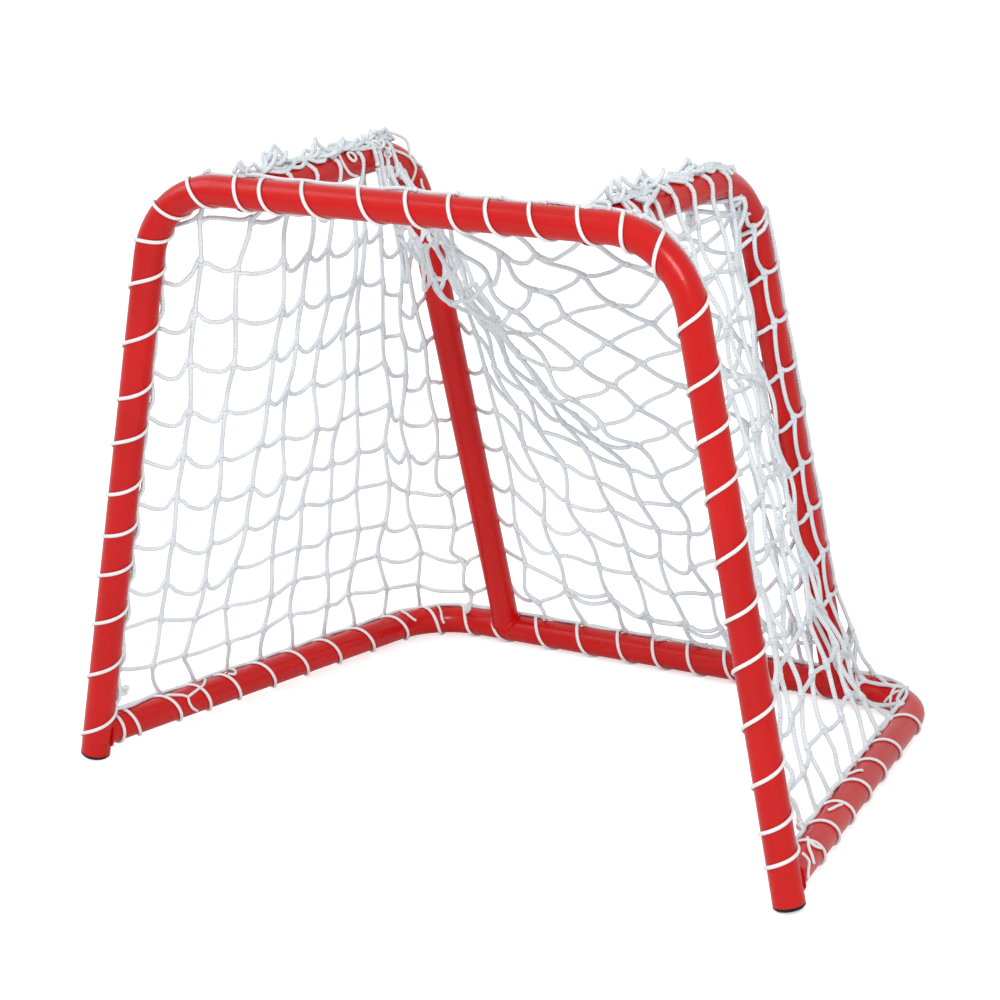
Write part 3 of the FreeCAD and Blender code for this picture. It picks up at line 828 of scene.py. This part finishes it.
def twine_grid(chains, bars, flat, joints):
    """Each bar of the net as a smooth round cord, thicker where it runs into a joint.

    chains is bars x points x 3. At a joint the bars of one direction share their tangent, so that a
    cord runs through without a kink, and the crosswise bars leave it a little above or below.
    """
    way = np.zeros((2, joints, 3))
    for kind in (0, 1):
        mine = flat == kind
        np.add.at(way[kind], bars[mine, 0], unit(chains[mine, 1] - chains[mine, 0]))
        np.add.at(way[kind], bars[mine, 1], unit(chains[mine, -1] - chains[mine, -2]))
    way = unit(way)
    tangent = np.gradient(chains, axis=1)
    tangent[:, 0] = way[flat, bars[:, 0]] * np.linalg.norm(tangent[:, 0], axis=1)[:, None]
    tangent[:, -1] = way[flat, bars[:, 1]] * np.linalg.norm(tangent[:, -1], axis=1)[:, None]
    links = chains.shape[1] - 1
    spots = np.array(TWINE_STATIONS) * links
    index = np.minimum(spots.astype(int), links - 1)
    t = (spots - index)[None, :, None]
    path = cubic(t, chains[:, index], tangent[:, index], chains[:, index + 1], tangent[:, index + 1])
    share = (spots / links)[None, :, None]
    near_start = np.exp(-((share / 0.10) ** 2))
    near_end = np.exp(-(((1 - share) / 0.10) ** 2))
    crossing = (flat == 1)[:, None, None] * JOINT_RISE
    move_at_start = crossing * near_start * way[0, bars[:, 0]][:, None]
    move_at_end = crossing * near_end * way[0, bars[:, 1]][:, None]
    path = creased(path + move_at_start - move_at_end)
    steps = np.linalg.norm(np.diff(path, axis=1), axis=2)
    length = np.concatenate([np.zeros((len(path), 1)), np.cumsum(steps, axis=1)], axis=1)
    from_end = np.minimum(length, length[:, -1:] - length)
    swell = np.exp(-((from_end / SWELL_LENGTH) ** 2))
    radius = TWINE_RADIUS * (1 + np.where(flat == 0, 0.50, 0.12)[:, None] * swell)
    along = unit(np.gradient(path, axis=1))
    overall = unit(path[:, -1] - path[:, 0])
    reference = np.eye(3)[np.abs(overall).argmin(1)][:, None]
    out = unit(reference - (reference * along).sum(-1, keepdims=True) * along)
    across = np.cross(along, out)
    angle = np.linspace(0, 2 * math.pi, 6, endpoint=False)[None, None, :, None]
    ring = np.cos(angle) * out[:, :, None] + np.sin(angle) * across[:, :, None]
    return path[:, :, None] + ring * radius[..., None, None], length


NET_WHITE = (0.80, 0.85, 0.88)
NET_SHADE = (0.56, 0.63, 0.69)
net_material = braided_white("white_net_twine", NET_WHITE, NET_SHADE, 3, 0.0070, 0.0006)
net_places, net_held, net_bars, net_slack, net_flat, net_part = lay_out_net()
net_chains = hang(net_places, net_held, net_bars, net_slack)
net_grid, net_lengths = twine_grid(net_chains, net_bars, net_flat, len(net_places))
net_pieces = {
    "net_roof_twine": (0, ["net_top", "net_cheek_left", "net_cheek_right"]),
    "net_left_twine": (1, ["net_side_left", "net_corner_left"]),
    "net_back_twine": (2, ["net_back"]),
    "net_right_twine": (3, ["net_side_right", "net_corner_right"]),
}
for name, (number, replaced) in net_pieces.items():
    mine = net_part == number
    mesh = cord_grids_to_mesh(name, net_grid[mine], net_lengths[mine])
    new_piece(name, mesh, net_material, replaced)

# The border cords
# A twine runs along each edge of the net, under the lacing. It lies behind the legs and on top of
# the crossbar and of the base.
BORDER_RADIUS = 0.0021
BORDER_SWAY = 0.0005


def border(name, held_on, first, last, reference, seed):
    """A twine along a tube: it sways a little round its place by the sum of three sine waves."""
    rng = np.random.default_rng(seed)
    where = np.linspace(first, last, 700)
    path = held_on(where)
    waves = np.array([38.0, 71.0, 113.0])
    phase = rng.uniform(0, 2 * math.pi, (3, 3))
    sway = np.sin(where[:, None, None] * waves[None, :, None] + phase[None]).sum(axis=1)
    path = path + sway * BORDER_SWAY
    grid = swept(path, np.broadcast_to(np.array(reference), path.shape), BORDER_RADIUS, BORDER_RADIUS, 8)
    mesh = cord_grids_to_mesh(name, grid[None], distances(path)[None])
    new_piece(name, mesh, net_material, [])


border("net_front_border", held_on_front, 0.05, front_length - 0.05, (0.0, 1.0, 0.0), seed=21)
border("net_base_border", held_on_base, 0.03, base_length - 0.03, (0.0, 0.0, 1.0), seed=22)

# The bunched net on the arms
# What is too long of the top net is heaped along the arms' tops and tied there, in flattened folds
# with pinched peaks.
HEAP_STRANDS = 11
HEAP_RADIUS = 0.0022
HEAP_HEIGHT = 0.0030
HEAP_SPREAD = 0.65
HEAP_DRIFT = 0.004
PEAK_WIDTH = 0.008


def heap(line, first, last, peaks, seed):
    """Strands that wander over the top of an arm.

    A strand's angle round the arm, its height above it and its place along it are sums of sine waves
    of growing pace. A peak is a sharp rise and fall in the height of some strands.
    """
    rng = np.random.default_rng(seed)
    share = np.linspace(0, 1, 260)
    pace = np.arange(1, 9)

    def wander():
        """A smooth random wave along each strand."""
        phase = rng.uniform(0, 2 * math.pi, (HEAP_STRANDS, len(pace), 1))
        size = rng.uniform(0.4, 1.0, (HEAP_STRANDS, len(pace), 1)) / pace[None, :, None] ** 0.5
        return (size * np.sin(2 * math.pi * pace[None, :, None] * share + phase)).sum(axis=1) / 2

    where = first + (last - first) * share + HEAP_DRIFT * wander()
    angle = HEAP_SPREAD * wander()
    lift = HEAP_RADIUS + HEAP_HEIGHT * np.abs(wander())
    for place, height in peaks:
        taken = rng.uniform(0, 1, (HEAP_STRANDS, 1)) < 0.5
        spot = place + rng.uniform(-0.012, 0.012, (HEAP_STRANDS, 1))
        rise = taken * height * rng.uniform(0.4, 1.0, (HEAP_STRANDS, 1))
        lift += rise * np.exp(-np.abs(where - spot) / PEAK_WIDTH)
    tangent = direction(line, where)
    up = unit(np.array([0.0, 0.0, 1.0]) - tangent[..., 2:] * tangent)
    aside = np.cross(tangent, up)
    spoke = up * np.cos(angle)[..., None] + aside * np.sin(angle)[..., None]
    return at(line, where) + spoke * (TUBE_RADIUS + lift)[..., None], aside


def heap_piece(name, line, first, last, peaks, seed, replaced):
    """The strands of one arm's heap in one mesh."""
    paths, aside = heap(line, first, last, peaks, seed)
    grids = np.stack([swept(path, out, HEAP_RADIUS, HEAP_RADIUS, 7) for path, out in zip(paths, aside)])
    lengths = np.stack([distances(path) for path in paths])
    new_piece(name, cord_grids_to_mesh(name, grids, lengths), net_material, replaced)


LEFT_PEAKS = [(0.012, 0.020), (0.070, 0.024), (0.140, 0.016), (0.205, 0.010), (0.262, 0.012)]
RIGHT_PEAKS = [(0.016, 0.022), (0.075, 0.018), (0.128, 0.018), (0.210, 0.014)]
heap_piece("net_bunch_left", rear_line_left, 0.000, 0.285, LEFT_PEAKS, 31, ["net_gather_left"])
heap_piece("net_bunch_right", rear_line_right, 0.000, 0.270, RIGHT_PEAKS, 32, ["net_gather_right"])

# The knots and tails
# Either end of both lacings has a small overhand knot, and short cut tails of thin cord lie on the base.
TAIL_RADIUS = 0.0016
FACE = TUBE_RADIUS + TAIL_RADIUS
SHORT_CORD_POINTS = 60


def through(controls, count):
    """A smooth line through some points: cubics whose end slopes come from the neighbours."""
    controls = np.array(controls, float)
    slopes = np.gradient(controls, axis=0)
    spot = np.linspace(0, len(controls) - 1, count)
    index = np.minimum(spot.astype(int), len(controls) - 2)
    t = (spot - index)[:, None]
    return cubic(t, controls[index], slopes[index], controls[index + 1], slopes[index + 1])


def overhand(centre, size, turn):
    """A tight overhand knot: the trefoil curve, turned about the upright through its middle."""
    t = np.linspace(0, 2 * math.pi, SHORT_CORD_POINTS)
    flat = np.stack([np.sin(t) + 2 * np.sin(2 * t), -np.sin(3 * t), np.cos(t) - 2 * np.cos(2 * t)], 1)
    cosine, sine = math.cos(turn), math.sin(turn)
    spin = np.array([[cosine, -sine, 0], [sine, cosine, 0], [0, 0, 1]])
    path = np.array(centre) + flat @ spin.T * size / 3
    return path, -np.gradient(np.gradient(path, axis=0), axis=0)


def cords_piece(name, cords, replaced):
    """Several short cords in one mesh; each is its path and the way out along it."""
    grids = np.stack([swept(path, out, TAIL_RADIUS, TAIL_RADIUS, 8) for path, out in cords])
    lengths = np.stack([distances(path) for path, _ in cords])
    new_piece(name, cord_grids_to_mesh(name, grids, lengths), lace_material, replaced)


def tail(line, stations):
    """A short cord over a tube, through stations of distance, angle and reach."""
    where, angle, reach = np.array(stations, float).T
    path = through(beside(line, where, angle, reach), SHORT_CORD_POINTS)
    middle = at(line, np.linspace(where[0], where[-1], SHORT_CORD_POINTS))
    return path, path - middle


def knot_middle(node):
    """The middle of a CAD knot."""
    low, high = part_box(node)
    return np.array((low + high) / 2)


for node, turn, size in (
    ("knot_leg_left", 0.4, 0.0058),
    ("knot_leg_right", 2.0, 0.0058),
    ("knot_base_left", 1.2, 0.0062),
    ("knot_base_right", 2.7, 0.0066),
):
    cords_piece("tied_" + node, [overhand(knot_middle(node), size, turn)], [node])

left_tails = (
    [(0.166, -1.25, FACE), (0.156, -0.80, FACE), (0.142, -0.55, FACE), (0.124, -0.30, FACE)],
    [(0.124, -0.30, FACE), (0.118, -0.55, FACE), (0.106, -0.85, FACE), (0.100, -1.00, FACE)],
    [(0.124, -0.30, FACE), (0.123, 0.10, FACE), (0.127, 0.50, FACE), (0.136, 0.88, FACE)],
    [(0.206, -1.40, 0.021), (0.210, -1.05, FACE), (0.204, -0.75, FACE), (0.197, -0.95, FACE)],
    [(0.498, -1.40, 0.020), (0.500, -0.85, FACE), (0.504, -0.35, FACE), (0.509, -0.14, FACE)],
    [(0.548, -1.20, 0.020), (0.551, -0.70, FACE), (0.552, -0.10, FACE), (0.555, 0.22, FACE)],
)
cords_piece("tails_left", [tail(base_line, stations) for stations in left_tails], [])
right_tails = (
    [(1.178, -0.40, FACE), (1.175, -0.15, FACE), (1.170, 0.20, FACE), (1.161, 0.58, FACE)],
    [(1.448, 0.70, FACE), (1.452, 0.95, FACE), (1.458, 1.15, FACE), (1.462, 1.40, FACE)],
    [(1.545, 0.47, FACE), (1.554, 0.62, FACE), (1.563, 0.74, FACE), (1.570, 0.88, FACE)],
    [(1.648, 0.90, FACE), (1.656, 0.58, FACE), (1.656, 0.20, FACE), (1.649, -0.14, 0.019)],
    [(1.662, 0.66, 0.020), (1.669, 0.44, FACE), (1.676, 0.10, FACE), (1.681, -0.32, FACE)],
    [(1.692, 0.55, 0.021), (1.696, 0.10, 0.021), (1.701, -0.30, FACE), (1.705, -0.65, FACE)],
)
cords_piece("tails_right", [tail(base_line, stations) for stations in right_tails], [])

# The tie on the left arm
# The top net is gathered at the left arm's rear end in a cluster of four small knots, with a loop
# that stands over the bend, a ring, two more knots and some ends of cord.
tie_loop = (
    [(0.256, -1.10, 0.021), (0.274, -1.35, 0.026), (0.293, -1.20, 0.025)]
    + [(0.301, -0.60, FACE), (0.316, -0.40, FACE), (0.331, 0.35, FACE)]
)
tie_ends = (
    tie_loop,
    [(0.250, -0.05, 0.020), (0.272, -0.15, FACE), (0.292, -0.40, FACE), (0.330, -1.20, FACE)],
    [(0.334, -0.45, FACE), (0.341, -0.38, FACE), (0.348, -0.40, FACE), (0.355, -0.38, FACE)],
    [(0.176, -0.70, FACE), (0.170, 0.20, FACE), (0.180, 0.80, FACE), (0.200, 1.25, FACE)],
    [(0.200, -0.75, 0.019), (0.212, -0.45, FACE), (0.226, -0.35, FACE), (0.240, -0.20, 0.020)],
)
tie_knots = (
    (0.240, -0.25, 0.5, 0.0075),
    (0.243, -0.70, 1.9, 0.0070),
    (0.251, 0.15, 2.6, 0.0065),
    (0.243, -1.20, 2.8, 0.0060),
    (0.332, 0.80, 1.2, 0.0055),
    (0.182, -1.15, 0.9, 0.0065),
)
RING_PLACE = 0.190
ring_turn = np.linspace(0, 2 * math.pi, SHORT_CORD_POINTS)
ring_where = RING_PLACE + 0.0055 * np.cos(ring_turn)
ring_angle = -0.15 + 0.30 * np.sin(ring_turn)
ring_path = beside(rear_line_left, ring_where, ring_angle, np.full(SHORT_CORD_POINTS, FACE + 0.0005))
ring_middle = at(rear_line_left, np.full(SHORT_CORD_POINTS, RING_PLACE))
arm_ties = [tail(rear_line_left, stations) for stations in tie_ends]
arm_ties.append((ring_path, ring_path - ring_middle))
for where, angle, turned, size in tie_knots:
    centre = beside(rear_line_left, where, np.array(angle), TUBE_RADIUS + 0.005)
    arm_ties.append(overhand(centre, size, turned))
cords_piece("ties_arm_left", arm_ties, [])

# The studio
# A pale floor that keeps the goal's shadow, two large soft lamps and a white backdrop. Seen directly,
# floor and backdrop are brighter than the light that they give.
FLOOR_PALE = (0.90, 0.90, 0.90)
FLOOR_PALER = (0.92, 0.92, 0.92)
floor_mesh = bpy.data.meshes.new("studio_floor")
floor_mesh.from_pydata([(-30, -30, 0), (30, -30, 0), (30, 30, 0), (-30, 30, 0)], [], [(0, 1, 2, 3)])
floor = bpy.data.objects.new("studio_floor", floor_mesh)
bpy.context.scene.collection.objects.link(floor)
floor_material, floor_tree, floor_shader, floor_place = new_material("pale_floor")
floor_tone = noise_mask(floor_tree, floor_place, 1.5, 0.3, 0.7)
floor_colour = mix_colour(floor_tree, floor_tone, FLOOR_PALE, FLOOR_PALER)
floor_tree.links.new(floor_colour, floor_shader.inputs["Base Color"])
floor_shader.inputs["Roughness"].default_value = 0.9
floor_rays = floor_tree.nodes.new("ShaderNodeLightPath").outputs
floor_glow = math_node(floor_tree, "MULTIPLY", floor_rays["Is Camera Ray"], 0.55)
floor_shader.inputs["Emission Color"].default_value = (1, 1, 1, 1)
floor_tree.links.new(floor_glow, floor_shader.inputs["Emission Strength"])
floor_mesh.materials.append(floor_material)

world = bpy.data.worlds.new("white_studio")
bpy.context.scene.world = world
world.use_nodes = True
world_tree = world.node_tree
background = world_tree.nodes["Background"]
world_rays = world_tree.nodes.new("ShaderNodeLightPath").outputs
seen = math_node(world_tree, "MAXIMUM", world_rays["Is Camera Ray"], world_rays["Is Glossy Ray"])
seen_through = math_node(world_tree, "MAXIMUM", seen, world_rays["Is Transmission Ray"])
level = world_tree.nodes.new("ShaderNodeMapRange")
level.inputs["To Min"].default_value = 0.66
level.inputs["To Max"].default_value = 1.0
world_tree.links.new(seen_through, level.inputs["Value"])
background.inputs["Color"].default_value = (1, 1, 1, 1)
world_tree.links.new(level.outputs["Result"], background.inputs["Strength"])


def soft_lamp(name, place, size, power):
    """A square area lamp that faces the goal's middle."""
    data = bpy.data.lights.new(name, "AREA")
    data.size = size
    data.energy = power
    lamp = bpy.data.objects.new(name, data)
    bpy.context.scene.collection.objects.link(lamp)
    lamp.location = place
    lamp.rotation_euler = (Vector((0, 0, 0.3)) - Vector(place)).to_track_quat("-Z", "Y").to_euler()


soft_lamp("lamp_right", (1.6, -2.6, 2.2), 0.9, 52)
soft_lamp("lamp_left", (-2.6, -1.4, 2.6), 2.0, 34)

# The camera
# It stands where the photo was taken from, as solved from the edges of the tubes there.
CAMERA_PLACE = (1.444873, -2.524963, 1.106926)
camera_data = bpy.data.cameras.new("photo_camera")
camera_data.lens = 101.172
camera_data.sensor_width = 36
camera = bpy.data.objects.new("photo_camera", camera_data)
bpy.context.scene.collection.objects.link(camera)
turn = math.radians(30.83381)
tilt = math.radians(-15.87881)
roll = math.radians(-0.697716)
forward = Vector((-math.sin(turn) * math.cos(tilt), math.cos(turn) * math.cos(tilt), math.sin(tilt)))
level_right = forward.cross(Vector((0, 0, 1))).normalized()
level_up = level_right.cross(forward)
right = level_right * math.cos(roll) + level_up * math.sin(roll)
up = right.cross(forward)
camera_axes = Matrix((right, up, -forward)).transposed().to_4x4()
camera.matrix_world = Matrix.Translation(CAMERA_PLACE) @ camera_axes
bpy.context.scene.camera = camera

bpy.context.scene.view_settings.view_transform = "Standard"
